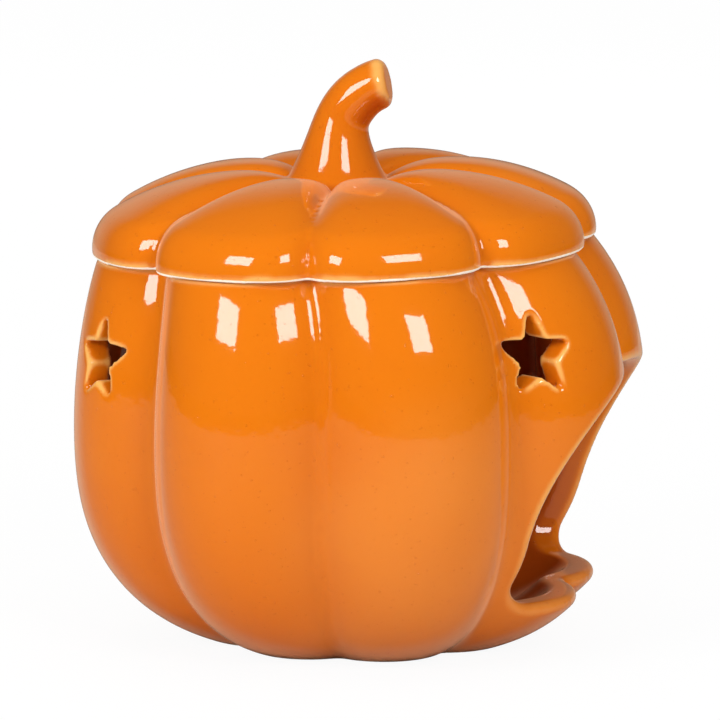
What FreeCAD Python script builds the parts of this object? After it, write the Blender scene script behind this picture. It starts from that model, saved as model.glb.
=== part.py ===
import FreeCAD, Part
import math
import os

import Sketcher
from FreeCAD import Placement, Rotation, Vector

# Ceramic pumpkin lantern with a lift-off lid and a tealight. Millimetres, +Z up, +X out of the mouth.
# The origin is the centre of the base, on the surface it stands on.
# Body and lid have eight lobes. A lobe's horizontal section is an arc, and a crease is a small hollow arc.
# The front crease lies on +X, and the mouth is cut through the two lobes beside it.

OUT = "parts"
LOBES = 8
HALF_LOBE = math.pi / LOBES
BODY_SECTIONS = 10
CAVITY_OVERRUN = 2  # how far the cavity is cut past the rim, in millimetres
STAR_POINTS = 5

# Five upright sections across one lobe of the lid: the share of the lobe's turn where each one stands, and
# how far it has sunk from the crest, at 0, to the crease, at 1.
LID_SECTIONS = [(0, 1), (0.19, 0.17), (0.5, 0), (0.81, 0.17), (1, 1)]

STEM_SECTIONS = 9
STRAIGHT_SHARE = 0.45  # the share of the stem's length where it stops climbing
TURN_GROWTH = 1.6  # exponent of the stem's turning: it turns faster towards its end
FLARE_SHARE = 0.5  # the share of the stem's length over which it flares
FLARE_GROWTH = 1.6  # exponent of the flare

# A rotation's axis is kept only while its angle isn't zero, so a driven rotation starts from one of these.
ANY_ANGLE = 10
LEAST_ANGLE = 0.001

# Alias, value, meaning. Lengths in millimetres, angles in degrees.
DIMENSIONS = [
    ("girth_radius", 70.7, "lobe crest radius at the widest height"),
    ("girth_height", 52, "height of the widest section"),
    ("lower_depth", 56, "from the widest height down to where the swelling would close"),
    ("upper_depth", 68, "from the widest height up to where the swelling would close"),
    ("swell", 2.4, "exponent of the height in the swelling curve"),
    ("fullness", 2.8, "exponent of the radius in the swelling curve"),
    ("lobe_offset", 45, "distance from the axis to a lobe's arc centre, at the widest height"),
    ("crease_radius", 3, "radius of the hollow arc in an outside crease"),
    ("wall", 6, "thickness of the ceramic"),
    ("rim_height", 95.8, "height of the rim on the axis"),
    ("rim_lean", 4, "how far the rim's centre lies behind the base's"),
    ("rim_tilt", 1.8, "tilt of the rim, higher at the front"),
    ("lean_start", 60, "height where the lean and the tilt begin"),
    ("floor_height", 6.5, "top of the floor inside"),
    ("mouth_bottom", 15, "height of the lower lip"),
    ("mouth_top", 67, "height of the upper lip"),
    ("mouth_bottom_half", 34.2, "half length of the straight lower edge, where mouth_reach is"),
    ("mouth_top_half", 8.6, "half length of the straight upper edge, where mouth_reach is"),
    ("mouth_reach", 60, "distance in front of the axis where the mouth's widths are given"),
    ("mouth_inside", 30, "distance in front of the axis where the mouth's cut starts"),
    ("mouth_outside", 85, "distance in front of the axis where the mouth's cut ends"),
    ("mouth_splay", 22, "angle at which each side of the mouth opens outwards"),
    ("mouth_skew", 1, "turn of the mouth's outline, its top towards -Y"),
    ("mouth_round", 1.9, "rounding of the mouth's edges"),
    ("mouth_corner", 8, "radius of the lower corners"),
    ("mouth_shoulder", 34, "radius of the upper corners"),
    ("star_tip", 11, "radius of a star's points"),
    ("star_notch", 4.8, "radius of a star's inner corners"),
    ("star_narrowing", 0.79, "a star's width as a share of a regular star's"),
    ("front_star_height", 76.4, "height of the eyes"),
    ("front_star_turn", 39, "angle of the eyes from the front"),
    ("back_star_height", 72, "height of the rear stars"),
    ("back_star_turn", 149, "angle of the rear stars from the front"),
    ("rim_round", 1.5, "rounding of the rim's edges"),
    ("lid_radius", 61.6, "radius of the lid at a lobe's crest"),
    ("lid_crease_depth", 6.5, "how much less the lid's radius is at a crease"),
    ("lid_height", 19.3, "height of a lid lobe above the lid's edge"),
    ("lid_valley_depth", 4.6, "how far a crease lies below the lobes beside it"),
    ("lid_edge_rise", 1.5, "height of the lid's widest section above its edge"),
    ("lid_edge_round", 11, "radius of the lid's side, in an upright section"),
    ("lid_peak_radius", 25, "distance from the axis to the highest point of a lobe"),
    ("lid_dip_round", 30, "radius of a lobe's top, from its highest point to the stem"),
    ("lid_core", 6, "radius inside which the stem fills the lid"),
    ("lid_roof", 8, "height of the hollow under the lid's lobes"),
    ("lid_roof_middle", 5, "height of the hollow under the stem"),
    ("lid_haunch", 3, "height where the hollow starts to close over the ring"),
    ("ring_radius", 44.5, "outside radius of the locating ring under the lid"),
    ("ring_wall", 4, "thickness of the locating ring"),
    ("ring_depth", 6, "depth of the locating ring"),
    ("stem_root", 8, "height above the lid's edge where the stem springs from the lid"),
    ("stem_start", 24.3, "height above the lid's edge where the stem stops climbing straight"),
    ("stem_bend", 15.5, "radius of the stem's bend"),
    ("stem_turn", 80, "angle that the stem turns through"),
    ("stem_offset", -0.9, "place of the stem along the lid, towards the front"),
    ("stem_flare", 10.9, "how much wider the stem is where it springs from the lid"),
    ("stem_waist", 7.2, "radius of the stem without its flare, where it springs from the lid"),
    ("stem_end", 6, "radius of the stem at its end"),
    ("stem_end_round", 2.4, "rounding of the stem's end"),
    ("cup_radius", 19.2, "outside radius of the tealight cup"),
    ("cup_height", 16, "height of the tealight cup"),
    ("cup_wall", 0.3, "thickness of the cup's sheet"),
    ("cup_bead", 0.7, "radius of the rolled edge of the cup"),
    ("cup_bevel", 1, "bevel round the cup's underside"),
    ("wax_height", 12.5, "height of the wax at its edge"),
    ("wax_dish", 0.6, "how much lower the wax is at the wick"),
    ("wax_gap", 0.1, "gap between the wax and its neighbours"),
    ("tab_radius", 6.5, "radius of the wick holder's plate"),
    ("tab_thick", 0.35, "thickness of the wick holder's plate"),
    ("tab_neck_radius", 1.6, "outside radius of the wick holder's neck"),
    ("tab_neck_height", 3.2, "height of the wick holder"),
    ("wick_radius", 0.8, "radius of the wick"),
    ("wick_height", 23, "height of the wick's end above the cup's underside"),
    ("stand_gap", 0.05, "clearance under a loose piece"),
]


def make_sheet(doc):
    """Puts every driving dimension in a spreadsheet cell of its own, with an alias."""
    sheet = doc.addObject("Spreadsheet::Sheet", "dims")
    for row, (alias, value, meaning) in enumerate(DIMENSIONS, start=1):
        sheet.set(f"A{row}", meaning)
        sheet.set(f"B{row}", str(value))
        sheet.setAlias(f"B{row}", alias)
    doc.recompute()
    return sheet


# ---- helpers for bodies and sketches ----


def new_body(doc, label):
    body = doc.addObject("PartDesign::Body", label)
    body.Label = label
    return body


def origin_feature(body, role):
    return next(f for f in body.Origin.OriginFeatures if f.Role == role)


def new_sketch(body, name, role="XY_Plane"):
    sketch = body.newObject("Sketcher::SketchObject", name)
    sketch.AttachmentSupport = [(origin_feature(body, role), "")]
    sketch.MapMode = "FlatFace"
    return sketch


def bind(sketch, constraint, expression):
    """Adds a driving constraint and ties its value to an expression of the sheet's cells."""
    index = sketch.addConstraint(constraint)
    sketch.setExpression(f"Constraints[{index}]", expression)


def pin(sketch, geometry, point, where, x, y):
    """Fixes one point of the geometry. x and y are expressions, and where is their value now."""
    for axis_line, kind, expression, value in (
        (-2, "DistanceX", x, where.x),
        (-1, "DistanceY", y, where.y),
    ):
        if expression == "0":
            sketch.addConstraint(Sketcher.Constraint("PointOnObject", geometry, point, axis_line))
        else:
            bind(sketch, Sketcher.Constraint(kind, -1, 1, geometry, point, value), expression)


def polygon(sketch, corners):
    """Draws a closed outline. A corner is a pair of expressions, and each is pinned to the sheet."""
    points = [Vector(float(sketch.evalExpression(x)), float(sketch.evalExpression(y)), 0) for x, y in corners]
    lines = [
        sketch.addGeometry(Part.LineSegment(a, b), False)
        for a, b in zip(points, points[1:] + points[:1])
    ]
    for line, following in zip(lines, lines[1:] + lines[:1]):
        sketch.addConstraint(Sketcher.Constraint("Coincident", line, 2, following, 1))
    for line, point, (x, y) in zip(lines, points, corners):
        pin(sketch, line, 1, point, x, y)
    return sketch


def circle(sketch, radius, x="0"):
    """Draws a circle on the sketch's X axis. radius and x are expressions."""
    centre = Vector(float(sketch.evalExpression(x)), 0, 0)
    value = float(sketch.evalExpression(radius))
    index = sketch.addGeometry(Part.Circle(centre, Vector(0, 0, 1), value), False)
    pin(sketch, index, 3, centre, x, "0")
    bind(sketch, Sketcher.Constraint("Radius", index, value), radius)
    return sketch


def revolve(body, name, sketch, kind="PartDesign::Revolution"):
    feature = body.newObject(kind, name)
    feature.Profile = sketch
    feature.ReferenceAxis = (sketch, ["V_Axis"])
    feature.Angle = 360
    return feature


def extrude(body, name, sketch, kind, length, reverse=False):
    feature = body.newObject(kind, name)
    feature.Profile = sketch
    feature.setExpression("Length", length)
    feature.Reversed = reverse
    return feature


def loft(body, name, sketches, kind="PartDesign::AdditiveLoft"):
    feature = body.newObject(kind, name)
    feature.Profile = sketches[0]
    feature.Sections = [(sketch, [""]) for sketch in sketches[1:]]
    return feature


def finish_with(body, feature):
    body.Tip = feature
    return body


# ---- the lobed body ----


def lobed_section(body, name, height, inset):
    """One horizontal section: eight lobe arcs joined by eight hollow crease arcs.

    height is an expression. inset is 0 outside, and 1 on the inside of the wall.
    """
    sketch = new_sketch(body, name)
    for prop in ("SectionHeight", "CrestRadius", "LobeCentre", "Lean"):
        sketch.addProperty("App::PropertyFloat", prop, "Section")
    sketch.setExpression("SectionHeight", height)
    depth = (
        f"(SectionHeight < dims.girth_height ? dims.lower_depth : dims.upper_depth) - {inset} * dims.wall"
    )
    rise = f"(abs(SectionHeight - dims.girth_height) / ({depth}))"
    sketch.setExpression(
        "CrestRadius",
        f"(dims.girth_radius - {inset} * dims.wall) * (1 - {rise} ^ dims.swell) ^ (1 / dims.fullness)",
    )
    sketch.setExpression(
        "LobeCentre", f"CrestRadius * dims.lobe_offset / (dims.girth_radius - {inset} * dims.wall)"
    )
    share = "((SectionHeight - dims.lean_start) / (dims.rim_height - dims.lean_start))"
    sketch.setExpression("Lean", f"SectionHeight < dims.lean_start ? 0 : {share} ^ 3")
    sketch.AttachmentOffset = Placement(Vector(), Rotation(Vector(0, -1, 0), LEAST_ANGLE))
    sketch.setExpression("AttachmentOffset.Base.x", "-Lean * dims.rim_lean")
    sketch.setExpression("AttachmentOffset.Base.z", "SectionHeight")
    sketch.setExpression("AttachmentOffset.Rotation.Angle", f"{LEAST_ANGLE} + Lean * dims.rim_tilt")
    sketch.recompute()

    lobe_radius = sketch.CrestRadius - sketch.LobeCentre
    crease = float(sketch.evalExpression(f"dims.crease_radius + {inset} * dims.wall"))
    reach = lobe_radius + crease
    crease_centre = sketch.LobeCentre * math.cos(HALF_LOBE) + math.sqrt(
        reach**2 - (sketch.LobeCentre * math.sin(HALF_LOBE)) ** 2
    )
    arcs = []
    for i in range(LOBES):
        lobe_angle = (2 * i + 1) * HALF_LOBE
        middle = polar(sketch.LobeCentre, lobe_angle)
        before, after = (polar(crease_centre, lobe_angle + s * HALF_LOBE) for s in (-1, 1))
        starts, ends = direction(middle, before), direction(middle, after)
        arcs.append(Part.ArcOfCircle(Part.Circle(middle, Vector(0, 0, 1), lobe_radius), starts, ends))
        following = polar(sketch.LobeCentre, lobe_angle + 2 * HALF_LOBE)
        hollow = Part.Circle(after, Vector(0, 0, 1), crease)
        arcs.append(Part.ArcOfCircle(hollow, direction(after, following), direction(after, middle)))
    index = sketch.addGeometry(arcs, False)
    count = len(index)
    for i in range(0, count, 2):
        # A lobe arc runs anticlockwise and a crease arc is met at its end first.
        sketch.addConstraint(Sketcher.Constraint("Tangent", index[i], 2, index[i + 1], 2))
        sketch.addConstraint(Sketcher.Constraint("Tangent", index[i + 1], 1, index[(i + 2) % count], 1))
        turn = f"({i + 1} * 180 deg / {LOBES})"
        place = polar(sketch.LobeCentre, (i + 1) * HALF_LOBE)
        pin(sketch, index[i], 3, place, f"LobeCentre * cos{turn}", f"LobeCentre * sin{turn}")
    for i in range(2, count):
        sketch.addConstraint(Sketcher.Constraint("Equal", index[i % 2], index[i]))
    bind(sketch, Sketcher.Constraint("Radius", index[0], lobe_radius), "CrestRadius - LobeCentre")
    bind(sketch, Sketcher.Constraint("Radius", index[1], crease), f"dims.crease_radius + {inset} * dims.wall")
    return sketch


def polar(radius, angle):
    return Vector(radius * math.cos(angle), radius * math.sin(angle), 0)


def direction(start, end):
    return math.atan2(end.y - start.y, end.x - start.x)


def section_heights(bottom, top):
    """Height expressions from bottom to top, closer together at both ends, where the wall curves most."""
    shares = [(1 - math.cos(math.pi * i / BODY_SECTIONS)) / 2 for i in range(BODY_SECTIONS + 1)]
    return [f"{bottom} + ({top} - {bottom}) * {share:.4f}" for share in shares]


def mouth_sketch(body, plane):
    """The mouth's outline at one distance in front of the axis: straight lower and upper edges, small lower
    corners and large upper ones. plane is inside or outside.
    """
    sketch = new_sketch(body, f"mouth_{plane}", "YZ_Plane")
    sketch.AttachmentOffset = Placement(Vector(), Rotation(Vector(0, 0, 1), ANY_ANGLE))
    sketch.setExpression("AttachmentOffset.Base.z", f"dims.mouth_{plane}")
    sketch.setExpression("AttachmentOffset.Rotation.Angle", "dims.mouth_skew")
    spread = f"(dims.mouth_{plane} - dims.mouth_reach) * tan(dims.mouth_splay * 1 deg)"
    low_half_text = f"dims.mouth_bottom_half + {spread}"
    high_half_text = f"dims.mouth_top_half + {spread}"
    low_half, high_half, low, high, corner, shoulder = (
        float(sketch.evalExpression(text))
        for text in (
            low_half_text,
            high_half_text,
            "dims.mouth_bottom",
            "dims.mouth_top",
            "dims.mouth_corner",
            "dims.mouth_shoulder",
        )
    )
    corner_centre = Vector(low_half, low + corner, 0)
    shoulder_centre = Vector(high_half, high - shoulder, 0)
    between = shoulder_centre - corner_centre
    lean = math.asin((corner - shoulder) / between.Length)
    right = direction(corner_centre, shoulder_centre) - math.pi / 2 + lean
    left = math.pi - right
    corner_end = corner_centre + polar(corner, right)
    shoulder_start = shoulder_centre + polar(shoulder, right)
    lower_edge = Part.LineSegment(Vector(-low_half, low, 0), Vector(low_half, low, 0))
    upper_edge = Part.LineSegment(Vector(high_half, high, 0), Vector(-high_half, high, 0))
    outline = [
        lower_edge,
        arc(corner_centre, corner, -math.pi / 2, right),
        Part.LineSegment(corner_end, shoulder_start),
        arc(shoulder_centre, shoulder, right, math.pi / 2),
        upper_edge,
        arc(mirrored(shoulder_centre), shoulder, math.pi / 2, left),
        Part.LineSegment(mirrored(shoulder_start), mirrored(corner_end)),
        arc(mirrored(corner_centre), corner, left, 3 * math.pi / 2),
    ]
    index = sketch.addGeometry(outline, False)
    bottom, right_corner, _, right_shoulder, top, left_shoulder, _, left_corner = index
    for piece, following in zip(index, index[1:] + index[:1]):
        sketch.addConstraint(Sketcher.Constraint("Tangent", piece, 2, following, 1))
    for line in (bottom, top):
        sketch.addConstraint(Sketcher.Constraint("Symmetric", line, 1, line, 2, -2))
    pin(sketch, bottom, 2, Vector(low_half, low, 0), low_half_text, "dims.mouth_bottom")
    pin(sketch, top, 1, Vector(high_half, high, 0), high_half_text, "dims.mouth_top")
    sketch.addConstraint(Sketcher.Constraint("Equal", right_corner, left_corner))
    sketch.addConstraint(Sketcher.Constraint("Equal", right_shoulder, left_shoulder))
    bind(sketch, Sketcher.Constraint("Radius", right_corner, corner), "dims.mouth_corner")
    bind(sketch, Sketcher.Constraint("Radius", right_shoulder, shoulder), "dims.mouth_shoulder")
    return sketch


def arc(centre, radius, start, end):
    return Part.ArcOfCircle(Part.Circle(centre, Vector(0, 0, 1), radius), start, end)


def mirrored(point):
    return Vector(-point.x, point.y, 0)


def star_pocket(body, place):
    """A five-pointed star cut outwards through the wall. place is front or back."""
    sketch = new_sketch(body, f"{place}_star_outline", "YZ_Plane")
    sketch.AttachmentOffset = Placement(Vector(), Rotation(Vector(0, 1, 0), ANY_ANGLE))
    sketch.setExpression("AttachmentOffset.Base.y", f"dims.{place}_star_height")
    sketch.setExpression("AttachmentOffset.Rotation.Angle", f"dims.{place}_star_turn")
    corners = []
    for i in range(2 * STAR_POINTS):
        radius = "dims.star_notch" if i % 2 else "dims.star_tip"
        turn = f"({i} * 180 deg / {STAR_POINTS})"
        upright = i % STAR_POINTS == 0
        across = "0" if upright else f"{radius} * dims.star_narrowing * sin{turn}"
        corners.append((across, f"{radius} * cos{turn}"))
    polygon(sketch, corners)
    return extrude(body, f"{place}_star", sketch, "PartDesign::Pocket", "dims.girth_radius + dims.wall", True)


def on_rim(doc, edge):
    """True for an edge that runs round the rim, inside or outside."""
    dims = doc.dims
    middle = edge.valueAt((edge.FirstParameter + edge.LastParameter) / 2)
    tilt = math.radians(dims.rim_tilt)
    level = (middle.z - dims.rim_height) * math.cos(tilt) - (middle.x + dims.rim_lean) * math.sin(tilt)
    return abs(level) < dims.stand_gap


def cut_edges(feature, touching):
    """The edges where a subtractive feature's cut meets the faces that were there before it."""
    tool = feature.AddSubShape
    edges = [edge for face in feature.Shape.Faces if lies_on(tool, face, touching) for edge in face.Edges]
    return [edge for edge in edges if sum(edge.isSame(other) for other in edges) == 1]


def lies_on(tool, face, touching):
    u_low, u_high, v_low, v_high = face.ParameterRange
    middle = Part.Vertex(face.valueAt((u_low + u_high) / 2, (v_low + v_high) / 2))
    return any(middle.distToShape(side)[0] < touching for side in tool.Faces)


def build_body(doc):
    """The hollow pumpkin: one casting, open at the top, with a mouth and four stars cut through its wall."""
    body = new_body(doc, "pumpkin_body")
    outer = [
        lobed_section(body, f"outer_{i}", height, 0)
        for i, height in enumerate(section_heights("0", "dims.rim_height"))
    ]
    loft(body, "outer_swelling", outer)
    cavity_top = f"(dims.rim_height + {CAVITY_OVERRUN})"
    inner = [
        lobed_section(body, f"inner_{i}", height, 1)
        for i, height in enumerate(section_heights("dims.floor_height", cavity_top))
    ]
    loft(body, "cavity", inner, "PartDesign::SubtractiveLoft")
    doc.recompute()
    round_edges(body, "rim_rounding", lambda edge: on_rim(doc, edge), "dims.rim_round")
    mouth = [mouth_sketch(body, plane) for plane in ("inside", "outside")]
    loft(body, "mouth", mouth, "PartDesign::SubtractiveLoft")
    doc.recompute()
    lips = cut_edges(body.Tip, doc.dims.stand_gap)
    round_edges(body, "mouth_rounding", lambda edge: any(map(edge.isSame, lips)), "dims.mouth_round")
    stars = [star_pocket(body, place) for place in ("front", "back")]
    doc.recompute()
    mirror = body.newObject("PartDesign::Mirrored", "stars_on_the_other_side")
    mirror.Originals = stars
    mirror.MirrorPlane = (origin_feature(body, "XZ_Plane"), [""])
    return finish_with(body, mirror)


# ---- the lid ----


def lid_section(body, i):
    """The lid's upright section at one angle across a lobe.

    Its side, its crown and the dip towards the stem are three arcs, each tangent to the next.
    """
    turn_share, sunk = LID_SECTIONS[i]
    sketch = new_sketch(body, f"lid_section_{i}", "XZ_Plane")
    sketch.AttachmentOffset = Placement(Vector(), Rotation(Vector(0, 1, 0), turn_share * 360 / LOBES))
    side_x_text = f"dims.lid_radius - {sunk} * dims.lid_crease_depth - dims.lid_edge_round"
    height_text = f"dims.lid_height - {sunk} * dims.lid_valley_depth"
    side_x, height, side_y, side, peak, dip, core = (
        float(sketch.evalExpression(text))
        for text in (
            side_x_text,
            height_text,
            "dims.lid_edge_rise",
            "dims.lid_edge_round",
            "dims.lid_peak_radius",
            "dims.lid_dip_round",
            "dims.lid_core",
        )
    )
    over, up = side_x - peak, height - side_y
    crown = (over**2 + up**2 - side**2) / (2 * (up - side))
    side_centre = Vector(side_x, side_y, 0)
    crown_centre = Vector(peak, height - crown, 0)
    dip_centre = Vector(peak, height - dip, 0)
    meeting = direction(crown_centre, side_centre)
    edge = arc(side_centre, side, -math.asin(side_y / side), meeting)
    dipping = arc(dip_centre, dip, math.pi / 2, math.pi / 2 + math.asin((peak - core) / dip))
    foot = Vector(core, 0, 0)
    index = sketch.addGeometry(
        [
            Part.LineSegment(foot, edge.StartPoint),
            edge,
            arc(crown_centre, crown, meeting, math.pi / 2),
            dipping,
            Part.LineSegment(dipping.EndPoint, foot),
        ],
        False,
    )
    floor, rising, top, falling, inside = index
    sketch.addConstraint(Sketcher.Constraint("Coincident", floor, 2, rising, 1))
    sketch.addConstraint(Sketcher.Constraint("Tangent", rising, 2, top, 1))
    sketch.addConstraint(Sketcher.Constraint("Tangent", top, 2, falling, 1))
    sketch.addConstraint(Sketcher.Constraint("Coincident", falling, 2, inside, 1))
    sketch.addConstraint(Sketcher.Constraint("Coincident", inside, 2, floor, 1))
    sketch.addConstraint(Sketcher.Constraint("Horizontal", floor))
    sketch.addConstraint(Sketcher.Constraint("Vertical", inside))
    pin(sketch, floor, 1, foot, "dims.lid_core", "0")
    pin(sketch, rising, 3, side_centre, side_x_text, "dims.lid_edge_rise")
    pin(sketch, top, 2, Vector(peak, height, 0), "dims.lid_peak_radius", height_text)
    bind(sketch, Sketcher.Constraint("DistanceX", -1, 1, top, 3, peak), "dims.lid_peak_radius")
    bind(sketch, Sketcher.Constraint("Radius", rising, side), "dims.lid_edge_round")
    bind(sketch, Sketcher.Constraint("Radius", falling, dip), "dims.lid_dip_round")
    return sketch


def stem_section(body, i):
    """A round section across the stem, square to its bending centre line."""
    share = i / (STEM_SECTIONS - 1)
    straight = min(1, share / STRAIGHT_SHARE)
    flare = max(0, 1 - share / FLARE_SHARE) ** FLARE_GROWTH
    sketch = new_sketch(body, f"stem_{i}")
    sketch.AttachmentOffset = Placement(Vector(), Rotation(Vector(0, 1, 0), ANY_ANGLE))
    turn = f"({share**TURN_GROWTH:.4f} * dims.stem_turn)"
    sketch.setExpression(
        "AttachmentOffset.Base.x", f"dims.stem_offset + dims.stem_bend * (1 - cos({turn} * 1 deg))"
    )
    sketch.setExpression(
        "AttachmentOffset.Base.z",
        f"dims.stem_root + (dims.stem_start - dims.stem_root) * {straight:.4f}"
        f" + dims.stem_bend * sin({turn} * 1 deg)",
    )
    sketch.setExpression("AttachmentOffset.Rotation.Angle", f"{LEAST_ANGLE} + {turn}")
    taper = f"(dims.stem_waist - dims.stem_end) * {1 - share:.4f}"
    return circle(sketch, f"dims.stem_end + {taper} + dims.stem_flare * {flare:.4f}")


def build_lid(doc):
    """The lid: eight lobes round a solid core, a bent stem, and a locating ring that drops inside the rim."""
    body = new_body(doc, "lid")
    lobe = loft(body, "lobe", [lid_section(body, i) for i in range(len(LID_SECTIONS))])
    doc.recompute()
    lobes = body.newObject("PartDesign::PolarPattern", "lobes")
    lobes.Originals = [lobe]
    lobes.Axis = (origin_feature(body, "Z_Axis"), [""])
    lobes.Angle = 360
    lobes.Occurrences = LOBES
    body.Tip = lobes
    doc.recompute()
    core = circle(new_sketch(body, "core_outline"), "dims.lid_core + dims.lid_edge_rise")
    extrude(body, "core", core, "PartDesign::Pad", "dims.stem_root + dims.lid_edge_rise")
    ring = circle(new_sketch(body, "ring_outline"), "dims.ring_radius")
    extrude(body, "locating_ring", ring, "PartDesign::Pad", "dims.ring_depth", True)
    doc.recompute()
    loft(body, "stem", [stem_section(body, i) for i in range(STEM_SECTIONS)])
    doc.recompute()
    round_stem_end(body)
    inside = "(dims.ring_radius - dims.ring_wall)"
    hollow = polygon(
        new_sketch(body, "hollow_outline", "XZ_Plane"),
        [
            ("0", "-2 * dims.ring_depth"),
            (inside, "-2 * dims.ring_depth"),
            (inside, "dims.lid_haunch"),
            (f"{inside} - dims.wall", "dims.lid_roof"),
            ("2 * dims.stem_waist", "dims.lid_roof"),
            ("0", "dims.lid_roof_middle"),
        ],
    )
    return finish_with(body, revolve(body, "hollow", hollow, "PartDesign::Groove"))


def round_edges(body, name, chosen, radius):
    """Fillets the edges of the body's tip for which chosen(edge) is true. radius is an expression."""
    base = body.Tip
    names = [f"Edge{i}" for i, edge in enumerate(base.Shape.Edges, start=1) if chosen(edge)]
    fillet = body.newObject("PartDesign::Fillet", name)
    fillet.Base = (base, names)
    fillet.setExpression("Radius", radius)
    body.Document.recompute()
    return fillet


def round_stem_end(body):
    """Rounds the blunt end of the stem, which is the closed edge that lies farthest up and forward."""
    closed = [e for e in body.Tip.Shape.Edges if e.isClosed()]
    end = max(closed, key=lambda e: e.CenterOfMass.z)
    round_edges(body, "stem_end_rounding", end.isSame, "dims.stem_end_round")


# ---- the tealight ----


def turned(doc, label, corners):
    """A round piece turned from an outline given as (radius, height) expressions."""
    body = new_body(doc, label)
    sketch = polygon(new_sketch(body, f"{label}_outline", "XZ_Plane"), corners)
    return finish_with(body, revolve(body, f"{label}_turned", sketch))


def build_cup(doc):
    """The thin aluminium cup, with a rolled edge."""
    inner = "(dims.cup_radius - dims.cup_wall)"
    return turned(
        doc,
        "tealight_cup",
        [
            ("0", "0"),
            ("dims.cup_radius - dims.cup_bevel", "0"),
            ("dims.cup_radius", "dims.cup_bevel"),
            ("dims.cup_radius", "dims.cup_height - 2 * dims.cup_bead"),
            ("dims.cup_radius + dims.cup_bead", "dims.cup_height - 1.5 * dims.cup_bead"),
            ("dims.cup_radius + dims.cup_bead", "dims.cup_height - 0.5 * dims.cup_bead"),
            ("dims.cup_radius", "dims.cup_height"),
            (inner, "dims.cup_height - 0.5 * dims.cup_bead"),
            (inner, "dims.cup_bevel + dims.cup_wall"),
            (f"{inner} - dims.cup_bevel", "dims.cup_wall"),
            ("0", "dims.cup_wall"),
        ],
    )


def build_wax(doc):
    """The wax, cast round the wick and its holder."""
    outside = "dims.cup_radius - dims.cup_wall - dims.wax_gap"
    wick_hole = "dims.wick_radius + dims.wax_gap"
    neck_hole = "dims.tab_neck_radius + dims.wax_gap"
    base = "(dims.cup_wall + dims.wax_gap)"
    return turned(
        doc,
        "tealight_wax",
        [
            (outside, f"{base} + dims.cup_bevel"),
            (outside, "dims.wax_height"),
            (wick_hole, "dims.wax_height - dims.wax_dish"),
            (wick_hole, f"{base} + dims.tab_neck_height + dims.wax_gap"),
            (neck_hole, f"{base} + dims.tab_neck_height + dims.wax_gap"),
            (neck_hole, f"{base} + dims.tab_thick + dims.wax_gap"),
            ("dims.tab_radius + dims.wax_gap", f"{base} + dims.tab_thick + dims.wax_gap"),
            ("dims.tab_radius + dims.wax_gap", base),
            (f"{outside} - dims.cup_bevel", base),
        ],
    )


def build_wick_holder(doc):
    """The tinned plate that holds the wick upright, with its crimped neck."""
    hole = "dims.wick_radius + dims.stand_gap"
    base = "(dims.cup_wall + dims.wax_gap / 2)"
    return turned(
        doc,
        "wick_holder",
        [
            (hole, base),
            ("dims.tab_radius", base),
            ("dims.tab_radius", f"{base} + dims.tab_thick"),
            ("dims.tab_neck_radius", f"{base} + dims.tab_thick"),
            ("dims.tab_neck_radius", f"{base} + dims.tab_neck_height"),
            (hole, f"{base} + dims.tab_neck_height"),
        ],
    )


def build_wick(doc):
    """The wick, held in the wick holder and standing out of the wax."""
    return turned(
        doc,
        "wick",
        [
            ("0", "dims.cup_wall + dims.wax_gap"),
            ("dims.wick_radius", "dims.cup_wall + dims.wax_gap"),
            ("dims.wick_radius", "dims.wick_height"),
            ("0", "dims.wick_height"),
        ],
    )


# ---- assembly, checks and files ----


def place(piece, **expressions):
    """Sets a piece's place in the part's frame, from expressions of the sheet's cells."""
    for path, expression in expressions.items():
        piece.setExpression("Placement." + path.replace("_", "."), expression)


def build(doc):
    pieces = [build_body(doc), build_lid(doc)]
    lid = pieces[1]
    lid.Placement = Placement(Vector(), Rotation(Vector(0, -1, 0), 1))
    place(
        lid,
        Base_x="-dims.rim_lean",
        Base_z="dims.rim_height + dims.stand_gap",
        Rotation_Angle="dims.rim_tilt",
    )
    for make in (build_cup, build_wax, build_wick_holder, build_wick):
        piece = make(doc)
        place(piece, Base_z="dims.floor_height + dims.stand_gap")
        pieces.append(piece)
    return pieces


def check(doc, pieces):
    """Stops if any object failed, or any piece isn't exactly one sound solid."""
    failed = [o.Name for o in doc.Objects if {"Invalid", "Error"} & set(o.State)]
    if failed:
        raise RuntimeError(f"these objects failed: {failed}")
    for piece in pieces:
        shape = piece.Shape
        if shape.isNull() or not shape.isValid() or len(shape.Solids) != 1:
            raise RuntimeError(f"{piece.Label} isn't one valid solid")


def main():
    os.makedirs(OUT, exist_ok=True)
    doc = FreeCAD.newDocument("pumpkin_lantern")
    make_sheet(doc)
    pieces = build(doc)
    doc.recompute()
    check(doc, pieces)
    for piece in pieces:
        piece.Shape.exportStep(os.path.join(OUT, f"{piece.Label}.step"))
        print(f"{piece.Label}: {piece.Shape.Volume:.0f} mm3")


main()
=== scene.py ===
# The looks of the ceramic pumpkin lantern: glaze, bare rims, candle, light and camera.

import math

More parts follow.
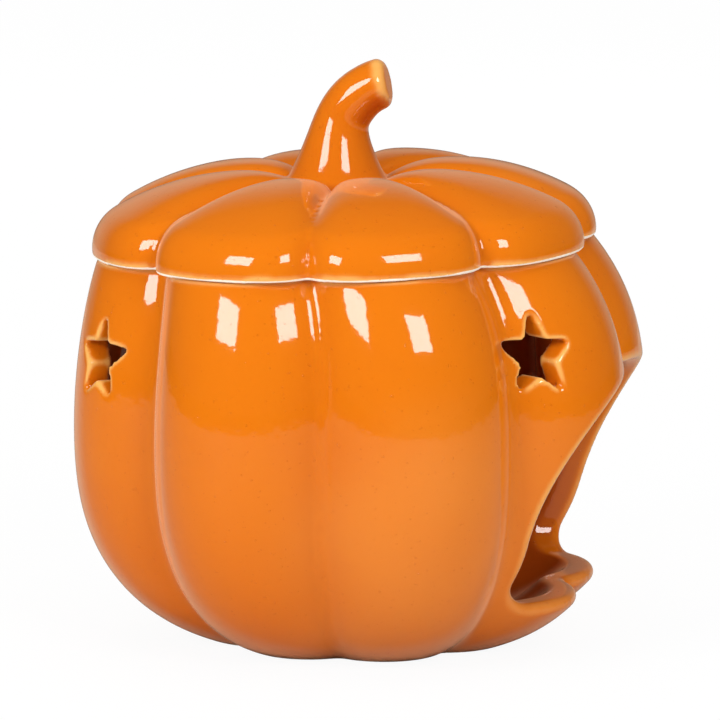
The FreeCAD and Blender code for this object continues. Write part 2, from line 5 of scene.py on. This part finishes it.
import bmesh
import bpy
import numpy as np
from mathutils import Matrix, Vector


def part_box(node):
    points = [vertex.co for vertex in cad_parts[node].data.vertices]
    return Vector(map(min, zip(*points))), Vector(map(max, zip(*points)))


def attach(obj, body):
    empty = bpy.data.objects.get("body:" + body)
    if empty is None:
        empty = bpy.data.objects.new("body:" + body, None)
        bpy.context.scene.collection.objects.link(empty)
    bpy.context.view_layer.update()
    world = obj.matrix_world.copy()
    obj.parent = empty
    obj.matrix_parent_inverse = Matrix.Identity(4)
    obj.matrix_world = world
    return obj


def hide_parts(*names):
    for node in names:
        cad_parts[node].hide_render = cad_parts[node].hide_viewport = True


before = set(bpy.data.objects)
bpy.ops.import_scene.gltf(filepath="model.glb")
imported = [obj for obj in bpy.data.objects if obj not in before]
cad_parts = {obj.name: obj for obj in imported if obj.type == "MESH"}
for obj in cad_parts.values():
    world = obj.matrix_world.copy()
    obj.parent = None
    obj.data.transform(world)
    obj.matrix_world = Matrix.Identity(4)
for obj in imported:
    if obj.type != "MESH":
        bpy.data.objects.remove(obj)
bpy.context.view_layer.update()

MM = 0.001


# ---- node helpers ----


class Nodes:
    """A small helper for building one material's node tree."""

    def __init__(self, name):
        self.material = bpy.data.materials.new(name)
        self.material.use_nodes = True
        self.tree = self.material.node_tree
        self.shader = self.tree.nodes["Principled BSDF"]

    def add(self, kind, **inputs):
        """Adds a node. Keyword inputs that name a socket set or link it, and the rest set attributes."""
        node = self.tree.nodes.new(kind)
        for key, value in inputs.items():
            name = key.replace("_", " ")
            if name in node.inputs:
                self.feed(node.inputs[name], value)
            else:
                setattr(node, key, value)
        return node

    def feed(self, socket, value):
        if isinstance(value, bpy.types.NodeSocket):
            self.tree.links.new(value, socket)
        else:
            socket.default_value = value

    def shade(self, **inputs):
        for key, value in inputs.items():
            self.feed(self.shader.inputs[key.replace("_", " ")], value)

    def math(self, operation, first, second=0.0):
        node = self.add("ShaderNodeMath", operation=operation)
        self.feed(node.inputs[0], first)
        self.feed(node.inputs[1], second)
        return node.outputs[0]

    def share(self, factor, most):
        """The factor scaled so that 1 becomes most."""
        return self.math("MULTIPLY", factor, most)

    def between(self, factor, low, high):
        """A value that goes from low to high as the factor goes from 0 to 1."""
        return self.math("ADD", low, self.share(factor, high - low))

    def place(self):
        return self.add("ShaderNodeTexCoord").outputs["Object"]

    def noise(self, scale, detail=3.0, roughness=0.5):
        """Noise of about 1/scale metres a feature."""
        return self.add(
            "ShaderNodeTexNoise", Vector=self.place(), Scale=scale, Detail=detail, Roughness=roughness
        ).outputs["Fac"]

    def ramp(self, factor, low, high):
        """0 at low and 1 at high, smooth in between."""
        node = self.add("ShaderNodeMapRange", interpolation_type="SMOOTHSTEP")
        self.feed(node.inputs["Value"], factor)
        self.feed(node.inputs["From Min"], low)
        self.feed(node.inputs["From Max"], high)
        return node.outputs["Result"]

    def mix(self, factor, first, second):
        node = self.add("ShaderNodeMix", data_type="RGBA")
        self.feed(node.inputs[0], factor)
        self.feed(node.inputs[6], first)
        self.feed(node.inputs[7], second)
        return node.outputs[2]

    def attribute(self, name):
        return self.add("ShaderNodeAttribute", attribute_name=name).outputs["Fac"]

    def bump(self, height, distance, normal=None):
        node = self.add("ShaderNodeBump", Height=height, Distance=distance, Strength=1.0)
        if normal is not None:
            self.feed(node.inputs["Normal"], normal)
        return node.outputs["Normal"]


# ---- the glaze ----

ORANGE = (0.70, 0.168, 0.004, 1)
ORANGE_LOW = (0.63, 0.130, 0.005, 1)
# Dark glaze for the creases, pooled glaze with painted shade, and for the specks
POOL_SHADE_AND_SPECKS = (0.40, 0.048, 0.003, 1)
BREAKING = (0.95, 0.56, 0.16, 1)
# The colour of the painted sheen along the outline
SHEEN = (0.90, 0.50, 0.30, 1)
# Painted shade for the inside of the lantern and the hollow under the lid
INSIDE_SHADE = (0.40, 0.050, 0.005, 1)
BISQUE = (0.93, 0.85, 0.72, 1)

# Noise scales: larger numbers give finer features
CLOUDS = 28.0
STREAKS = 9.0
SPECKS = 1500.0
WIPING_MARKS = 140.0
RIPPLES = 22.0
ORANGE_PEEL = 420.0
PITS = 900.0

# How much of each colour goes in where its effect is strongest
RUN_SHARE = 0.55
CLOUD_SHARE = 0.22
STREAK_SHARE = 0.12
POOL_SHADE_SHARE = 0.5
INSIDE_SHADE_SHARE = 0.8
SHEEN_SHARE = 0.75
SPECK_SHARE = 0.25

# The glaze deepens from the first height down to the second
RUN_FROM, RUN_TO = 55 * MM, 5 * MM

# It drains off the edges high up and gathers on the low ones, so it thins less there
DRAINS_FROM, DRAINS_TO = 18 * MM, 45 * MM
THIN_SHARE_LOW, THIN_SHARE_HIGH = 0.2, 0.65

# Layer Weight's "facing" is 0 face on and 1 at the outline
SHEEN_FROM, SHEEN_TO = 0.55, 0.95
COAT_FADES_FROM, COAT_FADES_TO = 0.62, 0.88

WIPING_WOBBLE = 0.5
RIPPLE_HEIGHT = 0.1 * MM
ORANGE_PEEL_HEIGHT = 0.02 * MM
PIT_HEIGHT = 0.12 * MM
GLOSS, BARE_ROUGHNESS = 0.09, 0.69


def bare_clay(n):
    """1 where the glaze was wiped off, with an uneven edge."""
    marks = n.math("SUBTRACT", n.noise(WIPING_MARKS), 0.5)
    wiped = n.math("ADD", n.attribute("bare"), n.share(marks, WIPING_WOBBLE))
    return n.ramp(wiped, 0.42, 0.58)


def glaze_colour(n, facing):
    height = n.add("ShaderNodeSeparateXYZ", Vector=n.place()).outputs[2]
    colour = n.mix(n.share(n.ramp(height, RUN_FROM, RUN_TO), RUN_SHARE), ORANGE, ORANGE_LOW)
    clouds = n.ramp(n.noise(CLOUDS, 4.0, 0.55), 0.42, 0.68)
    colour = n.mix(n.share(clouds, CLOUD_SHARE), colour, ORANGE_LOW)
    streaks = n.ramp(n.noise(STREAKS, 2.0), 0.5, 0.75)
    colour = n.mix(n.share(streaks, STREAK_SHARE), colour, BREAKING)
    # Darker in creases: pooled glaze and painted crease shade
    colour = n.mix(n.share(n.attribute("pool"), POOL_SHADE_SHARE), colour, POOL_SHADE_AND_SPECKS)
    drained = n.between(n.ramp(height, DRAINS_FROM, DRAINS_TO), THIN_SHARE_LOW, THIN_SHARE_HIGH)
    colour = n.mix(n.math("MULTIPLY", n.attribute("thin"), drained), colour, BREAKING)
    # Painted shade: the inside is darkened as if out of the light
    colour = n.mix(n.share(n.attribute("inside"), INSIDE_SHADE_SHARE), colour, INSIDE_SHADE)
    # Painted sheen: a pale reflection of the bright surroundings painted towards the outline
    colour = n.mix(n.share(n.ramp(facing, SHEEN_FROM, SHEEN_TO), SHEEN_SHARE), colour, SHEEN)
    specks = n.ramp(n.noise(SPECKS, 1.0), 0.735, 0.77)
    return n.mix(n.share(specks, SPECK_SHARE), colour, POOL_SHADE_AND_SPECKS)


def glaze_material():
    """Thick glossy glaze: pale where it thins over an edge, darker in creases where it pools and as painted shade,
    darker inside as painted shade, with a painted pale sheen towards the outline, and bare where it was wiped.

    The mesh carries "thin", "pool", "bare" and "inside", each 0 to 1, measured from its own shape.
    """
    n = Nodes("orange_glaze")
    facing = n.add("ShaderNodeLayerWeight", Blend=0.5).outputs["Facing"]
    bare = bare_clay(n)
    coated = n.math("SUBTRACT", 1.0, bare)
    clear = n.math("SUBTRACT", 1.0, n.ramp(facing, COAT_FADES_FROM, COAT_FADES_TO))
    ripples = n.bump(n.noise(RIPPLES, 2.0), RIPPLE_HEIGHT)
    orange_peel = n.bump(n.noise(ORANGE_PEEL, 2.0), ORANGE_PEEL_HEIGHT, normal=ripples)
    pits = n.bump(n.ramp(n.noise(PITS, 1.0), 0.72, 0.78), PIT_HEIGHT, normal=orange_peel)
    n.shade(
        Base_Color=n.mix(bare, glaze_colour(n, facing), BISQUE),
        Roughness=n.between(bare, GLOSS, BARE_ROUGHNESS),
        IOR=1.52,
        Specular_IOR_Level=0.15,
        Coat_Weight=n.math("MULTIPLY", coated, clear),
        Coat_Roughness=0.03,
        Coat_IOR=1.5,
        Subsurface_Weight=0.06,
        Subsurface_Radius=(0.004, 0.0015, 0.0004),
        Subsurface_Scale=1.0,
        Normal=pits,
        Coat_Normal=orange_peel,
    )
    return n.material


# ---- the candle's materials ----

CUP_FLUTES = 48
CUP_FLUTE_DEPTH = 0.2 * MM
DRAWING_MARKS = (120.0, 120.0, 2600.0)
DRAWING_MARK_DEPTH = 0.03 * MM

WAX_CLOUDS = 160.0
WAX_DIMPLES = 220.0
WAX_DIMPLE_DEPTH = 0.15 * MM

SCUFFS = 900.0
SCUFF_DEPTH = 0.03 * MM

FIBRES = 3500.0
FIBRE_DEPTH = 0.1 * MM


def cup_flutes(n):
    """Waves round the cup's own axis."""
    low, high = (Vector(corner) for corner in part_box("tealight_cup"))
    centre = (low + high) / 2
    centred = n.add("ShaderNodeMapping", Vector=n.place(), Location=(-centre.x, -centre.y, 0)).outputs[0]
    axes = n.add("ShaderNodeSeparateXYZ", Vector=centred)
    turn = n.math("ARCTAN2", axes.outputs[1], axes.outputs[0])
    return n.math("SINE", n.share(turn, CUP_FLUTES))


def cup_material():
    """Thin drawn aluminium: a fluted wall, with fine drawing marks round it."""
    n = Nodes("candle_cup")
    stretched = n.add("ShaderNodeMapping", Vector=n.place(), Scale=DRAWING_MARKS).outputs[0]
    marks = n.add("ShaderNodeTexNoise", Vector=stretched, Scale=1.0, Detail=2.0).outputs["Fac"]
    n.shade(
        Base_Color=n.mix(marks, (0.86, 0.86, 0.87, 1), (0.95, 0.95, 0.95, 1)),
        Metallic=0.9,
        Roughness=n.between(marks, 0.34, 0.54),
        Normal=n.bump(cup_flutes(n), CUP_FLUTE_DEPTH, normal=n.bump(marks, DRAWING_MARK_DEPTH)),
    )
    return n.material


def wax_material():
    """Off-white paraffin, soft inside, with a slightly uneven top."""
    n = Nodes("wax")
    clouds = n.noise(WAX_CLOUDS, 4.0)
    n.shade(
        Base_Color=n.mix(clouds, (0.86, 0.82, 0.73, 1), (0.94, 0.92, 0.86, 1)),
        Roughness=n.between(clouds, 0.32, 0.52),
        Subsurface_Weight=0.5,
        Subsurface_Radius=(0.005, 0.004, 0.003),
        Subsurface_Scale=1.0,
        Normal=n.bump(n.noise(WAX_DIMPLES), WAX_DIMPLE_DEPTH),
    )
    return n.material


def tin_material():
    """Bright tinned plate, lightly scuffed."""
    n = Nodes("tinned_steel")
    scuffs = n.noise(SCUFFS, 5.0)
    n.shade(
        Base_Color=n.mix(scuffs, (0.55, 0.55, 0.56, 1), (0.75, 0.75, 0.76, 1)),
        Metallic=1.0,
        Roughness=n.between(scuffs, 0.25, 0.55),
        Normal=n.bump(scuffs, SCUFF_DEPTH),
    )
    return n.material


def wick_material():
    """Twisted cotton stiffened with wax."""
    n = Nodes("wick")
    fibres = n.noise(FIBRES, 4.0)
    n.shade(
        Base_Color=n.mix(fibres, (0.62, 0.58, 0.48, 1), (0.90, 0.87, 0.79, 1)),
        Roughness=0.75,
        Normal=n.bump(fibres, FIBRE_DEPTH),
    )
    return n.material


# ---- glazed pieces ----

VOXEL = 0.6 * MM
SMOOTHING_STEPS = 7

# How far round each vertex its shape is averaged, to find edges and creases
EDGE_BLUR = 1.8 * MM
CREASE_BLUR = 3 * MM

# How proud an edge stands where the glaze starts to thin and where it is thinnest
THINS_FROM, THINS_TO = 0.11 * MM, 0.32 * MM

# How deep a crease lies where pooled glaze and painted crease shade start and where they are strongest
CREASE_SHADE_FROM, CREASE_SHADE_TO = 0.2 * MM, 0.8 * MM


def link(name, mesh):
    """A new object in the scene."""
    thing = bpy.data.objects.new(name, mesh)
    bpy.context.collection.objects.link(thing)
    return thing


def shade_smooth(mesh):
    for polygon in mesh.polygons:
        polygon.use_smooth = True


def glazed_copy(node):
    """A copy of a CAD node whose edges are softened as a fired glaze softens them."""
    piece = link(f"{node}_glazed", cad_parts[node].data.copy())
    remesh = piece.modifiers.new("even_mesh", "REMESH")
    remesh.mode = "VOXEL"
    remesh.voxel_size = VOXEL
    smooth = piece.modifiers.new("soft_edges", "SMOOTH")
    smooth.factor = 0.5
    smooth.iterations = SMOOTHING_STEPS
    graph = bpy.context.evaluated_depsgraph_get()
    mesh = bpy.data.meshes.new_from_object(piece.evaluated_get(graph))
    piece.modifiers.clear()
    piece.data = mesh
    shade_smooth(mesh)
    return piece


def vertex_vectors(mesh, name):
    values = np.empty(len(mesh.vertices) * 3)
    mesh.vertices.foreach_get(name, values)
    return values.reshape(-1, 3)


def proudness(mesh, place, normal, radius):
    """How far each vertex stands proud of its surroundings, in metres: above 0 on an edge, below 0 in a crease."""
    count = len(place)
    pairs = np.empty(len(mesh.edges) * 2, dtype=int)
    mesh.edges.foreach_get("vertices", pairs)
    a, b = pairs.reshape(-1, 2).T
    neighbours = np.bincount(a, minlength=count) + np.bincount(b, minlength=count)
    blurred = place.copy()
    for _ in range(round((radius / VOXEL) ** 2)):
        total = np.zeros_like(blurred)
        for axis in range(3):
            along = blurred[:, axis]
            total[:, axis] = np.bincount(a, along[b], count) + np.bincount(b, along[a], count)
        blurred = total / neighbours[:, None]
    return ((place - blurred) * normal).sum(axis=1)


def smoothstep(x, low, high):
    """0 at low and 1 at high, smooth in between."""
    share = ((x - low) / (high - low)).clip(0, 1)
    return share * share * (3 - 2 * share)


def fade(x, low, high):
    """1 at low and 0 at high, smooth in between."""
    return smoothstep(-x, -high, -low)


def store(mesh, name, values):
    layer = mesh.attributes.new(name, "FLOAT", "POINT")
    layer.data.foreach_set("value", values.clip(0, 1))


def measure_glaze(mesh, is_shaded_inside, is_bare):
    """Stores where the glaze runs thin, where creases darken with pooled glaze and painted shade, where painted
    shade darkens the inside, and where it was wiped off.
    """
    place = vertex_vectors(mesh, "co")
    normal = vertex_vectors(mesh, "normal")
    edge = proudness(mesh, place, normal, EDGE_BLUR)
    crease = -proudness(mesh, place, normal, CREASE_BLUR)
    store(mesh, "thin", smoothstep(edge, THINS_FROM, THINS_TO))
    store(mesh, "pool", smoothstep(crease, CREASE_SHADE_FROM, CREASE_SHADE_TO))
    store(mesh, "inside", is_shaded_inside(place, normal))
    store(mesh, "bare", is_bare(place))


def glaze_piece(node, body, is_shaded_inside, is_bare):
    piece = glazed_copy(node)
    measure_glaze(piece.data, is_shaded_inside, is_bare)
    piece.data.materials.clear()
    piece.data.materials.append(glaze)
    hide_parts(node)
    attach(piece, body)


# The inner floor lies below this height and within this radius
FLOOR_TOP = 12 * MM
FLOOR_REACH = 40 * MM

# Keeps the division below from failing on the axis
AXIS_GUARD = 1 * MM


def body_inside_shade(place, normal):
    """Where painted shade darkens the inside: the inner wall faces the axis, and the floor faces up well inside the
    outline.
    """
    radius = np.hypot(place[:, 0], place[:, 1])
    facing_in = -(normal[:, 0] * place[:, 0] + normal[:, 1] * place[:, 1]) / (radius + AXIS_GUARD)
    floor = smoothstep(normal[:, 2], 0.5, 0.9) * (place[:, 2] < FLOOR_TOP) * (radius < FLOOR_REACH)
    return smoothstep(facing_in, 0.0, 0.5) + floor


def body_bare(place):
    """The foot that stood on the kiln shelf."""
    return fade(place[:, 2], 0.2 * MM, 0.7 * MM)


# The locating ring under the lid lies within this radius, and the flat edge beyond it
RING_REACH = 50 * MM


def lid_plane():
    """A point on the lid's flat edge, and the way that edge faces, from the CAD lid's own faces."""
    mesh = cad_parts["lid"].data
    flat = [p for p in mesh.polygons if p.normal.z < -0.99 and p.center.xy.length > RING_REACH]
    area = sum(p.area for p in flat)
    point = sum((p.center * p.area for p in flat), Vector()) / area
    facing = sum((p.normal * p.area for p in flat), Vector()).normalized()
    return np.array(point), np.array(facing)


EDGE_POINT, EDGE_FACING = lid_plane()


def lid_level(place):
    """Height above the plane of the lid's edge, which is tilted up towards the front."""
    return -(place - EDGE_POINT) @ EDGE_FACING


def lid_reach(place):
    """Distance from the lid's axis."""
    across = (place - EDGE_POINT) + np.outer(lid_level(place), EDGE_FACING)
    return np.linalg.norm(across, axis=1)


def lid_inside_shade(place, normal):
    """Where painted shade darkens the hollow under the lid, inside the edge."""
    return smoothstep(-normal[:, 2], 0.0, 0.5) * fade(lid_reach(place), 47 * MM, 52 * MM)


def lid_bare(place):
    """The wiped edge that rests on the rim, and a thread's width of the side above it."""
    level = lid_level(place)
    near_edge = smoothstep(level, -1.0 * MM, -0.3 * MM) * fade(level, 0.45 * MM, 0.85 * MM)
    return near_edge * smoothstep(lid_reach(place), 44 * MM, 47 * MM)


glaze = glaze_material()
glaze_piece("pumpkin_body", "lantern", body_inside_shade, body_bare)
glaze_piece("lid", "lid", lid_inside_shade, lid_bare)


# ---- the candle ----


def repaint(node, material):
    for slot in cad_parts[node].material_slots:
        slot.material = material


repaint("tealight_cup", cup_material())
repaint("tealight_wax", wax_material())
repaint("wick_holder", tin_material())


STRANDS = 3
STRAND_RADIUS = 0.38 * MM
STRAND_LAY = 4.2 * MM
STRAND_SIDES = 10
RINGS_PER_TURN = 20


def around(angle):
    return Vector((math.cos(angle), math.sin(angle), 0))


def wick_strand(shape, low, high, phase):
    """Adds one strand of the twisted wick: a round tube along a helix, closed at both ends."""
    foot = Vector(((low.x + high.x) / 2, (low.y + high.y) / 2, low.z))
    height = high.z - low.z
    helix = (high.x - low.x) / 2 - STRAND_RADIUS
    turns = height / STRAND_LAY
    count = round(turns * RINGS_PER_TURN)
    offsets = [around(2 * math.pi * j / STRAND_SIDES) * STRAND_RADIUS for j in range(STRAND_SIDES)]
    rings = []
    for i in range(count + 1):
        out = around(phase + 2 * math.pi * turns * i / count)
        middle = foot + out * helix + Vector((0, 0, height * i / count))
        rings.append([shape.verts.new(middle + offset) for offset in offsets])
    for below, above in zip(rings, rings[1:]):
        for j in range(STRAND_SIDES):
            k = (j + 1) % STRAND_SIDES
            shape.faces.new((below[j], below[k], above[k], above[j]))
    shape.faces.new(list(reversed(rings[0])))
    shape.faces.new(rings[-1])


def twisted_wick():
    low, high = (Vector(corner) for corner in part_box("wick"))
    shape = bmesh.new()
    for i in range(STRANDS):
        wick_strand(shape, low, high, 2 * math.pi * i / STRANDS)
    mesh = bpy.data.meshes.new("wick_twisted")
    shape.to_mesh(mesh)
    shape.free()
    shade_smooth(mesh)
    mesh.materials.append(wick_material())
    piece = link("wick_twisted", mesh)
    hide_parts("wick")
    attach(piece, "tealight")


twisted_wick()


# ---- the floor ----

FLOOR_HALF_WIDTH = 6.0

# Share of the paper that is even white to the camera. The rest takes shadows, and it gives way to white further out
PAPER_GLOW = 0.94
SWEEP_START, SWEEP_END = 0.35, 1.6
PAPER_GRAIN = 300.0

# Painted reflections: the glaze mirrors the paper dimly, and a painted dark room floor beyond a reflected paper
# edge
PAPER_IN_REFLECTIONS = (0.30, 0.28, 0.25, 1)
DARK_ROOM_IN_REFLECTIONS = (0.03, 0.03, 0.03, 1)
REFLECTED_PAPER_EDGE = 0.9
REFLECTED_PAPER_EDGE_SOFTNESS = 0.036


def paper_material():
    """A white sweep: almost even white to the camera with a faint shadow, and painted dimmer in the glaze's
    reflections, with a painted dark room floor further out.
    """
    n = Nodes("paper")
    rays = n.add("ShaderNodeLightPath")
    grain = n.mix(n.noise(PAPER_GRAIN), (0.92, 0.92, 0.92, 1), (0.94, 0.94, 0.94, 1))
    length = n.add("ShaderNodeVectorMath", operation="LENGTH")
    n.feed(length.inputs[0], n.place())
    distance = length.outputs["Value"]
    beyond = n.ramp(distance, REFLECTED_PAPER_EDGE - REFLECTED_PAPER_EDGE_SOFTNESS, REFLECTED_PAPER_EDGE)
    reflected = n.mix(beyond, PAPER_IN_REFLECTIONS, DARK_ROOM_IN_REFLECTIONS)
    n.shade(
        Base_Color=n.mix(rays.outputs["Is Glossy Ray"], grain, reflected),
        Roughness=0.7,
        Specular_IOR_Level=0.1,
    )
    white = n.add("ShaderNodeEmission", Color=(1, 1, 1, 1), Strength=1.0)
    glowing = n.between(n.ramp(distance, SWEEP_START, SWEEP_END), PAPER_GLOW, 1.0)
    blend = n.add("ShaderNodeMixShader")
    n.feed(blend.inputs[0], n.math("MULTIPLY", rays.outputs["Is Camera Ray"], glowing))
    n.feed(blend.inputs[1], n.shader.outputs[0])
    n.feed(blend.inputs[2], white.outputs[0])
    n.feed(n.tree.nodes["Material Output"].inputs["Surface"], blend.outputs[0])
    return n.material


def floor():
    mesh = bpy.data.meshes.new("floor")
    shape = bmesh.new()
    bmesh.ops.create_grid(shape, x_segments=2, y_segments=2, size=FLOOR_HALF_WIDTH)
    shape.to_mesh(mesh)
    shape.free()
    mesh.materials.append(paper_material())
    link("floor", mesh)


# ---- light and camera ----

MIDDLE = (0, 0, 0.06)

# Name, place, width, height and power in watts
MIRRORED_PANELS = (
    ("softbox_left", (-0.57, -0.82, 0.60), 0.42, 0.36, 5.2),
    ("softbox_right", (0.60, -0.85, 0.73), 0.42, 0.36, 5.2),
)
UNSEEN_PANELS = (
    ("overhead", (0.0, -0.1, 1.1), 0.9, 0.9, 2.9),
    ("back_fill", (0.0, 0.95, 0.45), 0.9, 0.5, 3.0),
)

SOFT_LIGHT = 0.52
ROOM_REFLECTION = 0.04

AZIMUTH = math.radians(9.0)
ELEVATION = math.radians(10.0)
DISTANCE = 2.2
TARGET = (-0.0003, 0, 0.0673)
PIXELS_PER_METRE = 4120
FRAME_WIDTH = 720
SENSOR = 36.0


def aim(thing, place, target):
    thing.location = place
    thing.rotation_euler = (Vector(target) - Vector(place)).to_track_quat("-Z", "Y").to_euler()


def panel(name, place, width, height, power):
    light = bpy.data.lights.new(name, "AREA")
    light.shape = "RECTANGLE"
    light.size = width
    light.size_y = height
    light.energy = power
    thing = link(name, light)
    aim(thing, place, MIDDLE)
    return thing


def world_light():
    """White to the camera, soft light on the object, and a dim room in the object's reflections."""
    world = bpy.data.worlds.new("studio")
    bpy.context.scene.world = world
    world.use_nodes = True
    nodes = world.node_tree.nodes
    links = world.node_tree.links
    rays = nodes.new("ShaderNodeLightPath")
    dim = nodes.new("ShaderNodeMapRange")
    dim.inputs["To Min"].default_value = SOFT_LIGHT
    dim.inputs["To Max"].default_value = ROOM_REFLECTION
    links.new(rays.outputs["Is Glossy Ray"], dim.inputs["Value"])
    seen = nodes.new("ShaderNodeMath")
    seen.operation = "MAXIMUM"
    links.new(dim.outputs["Result"], seen.inputs[0])
    links.new(rays.outputs["Is Camera Ray"], seen.inputs[1])
    links.new(seen.outputs[0], nodes["Background"].inputs["Strength"])
    nodes["Background"].inputs["Color"].default_value = (1, 1, 1, 1)


def studio():
    floor()
    for settings in MIRRORED_PANELS:
        panel(*settings)
    for settings in UNSEEN_PANELS:
        panel(*settings).visible_glossy = False
    world_light()
    bpy.context.scene.view_settings.view_transform = "Standard"


def camera():
    level = math.cos(ELEVATION)
    back = Vector((math.sin(AZIMUTH) * level, -math.cos(AZIMUTH) * level, math.sin(ELEVATION)))
    lens = bpy.data.cameras.new("camera")
    lens.sensor_width = SENSOR
    lens.lens = PIXELS_PER_METRE * DISTANCE * SENSOR / FRAME_WIDTH
    thing = link("camera", lens)
    aim(thing, Vector(TARGET) + back * DISTANCE, TARGET)
    bpy.context.scene.camera = thing


studio()
camera()
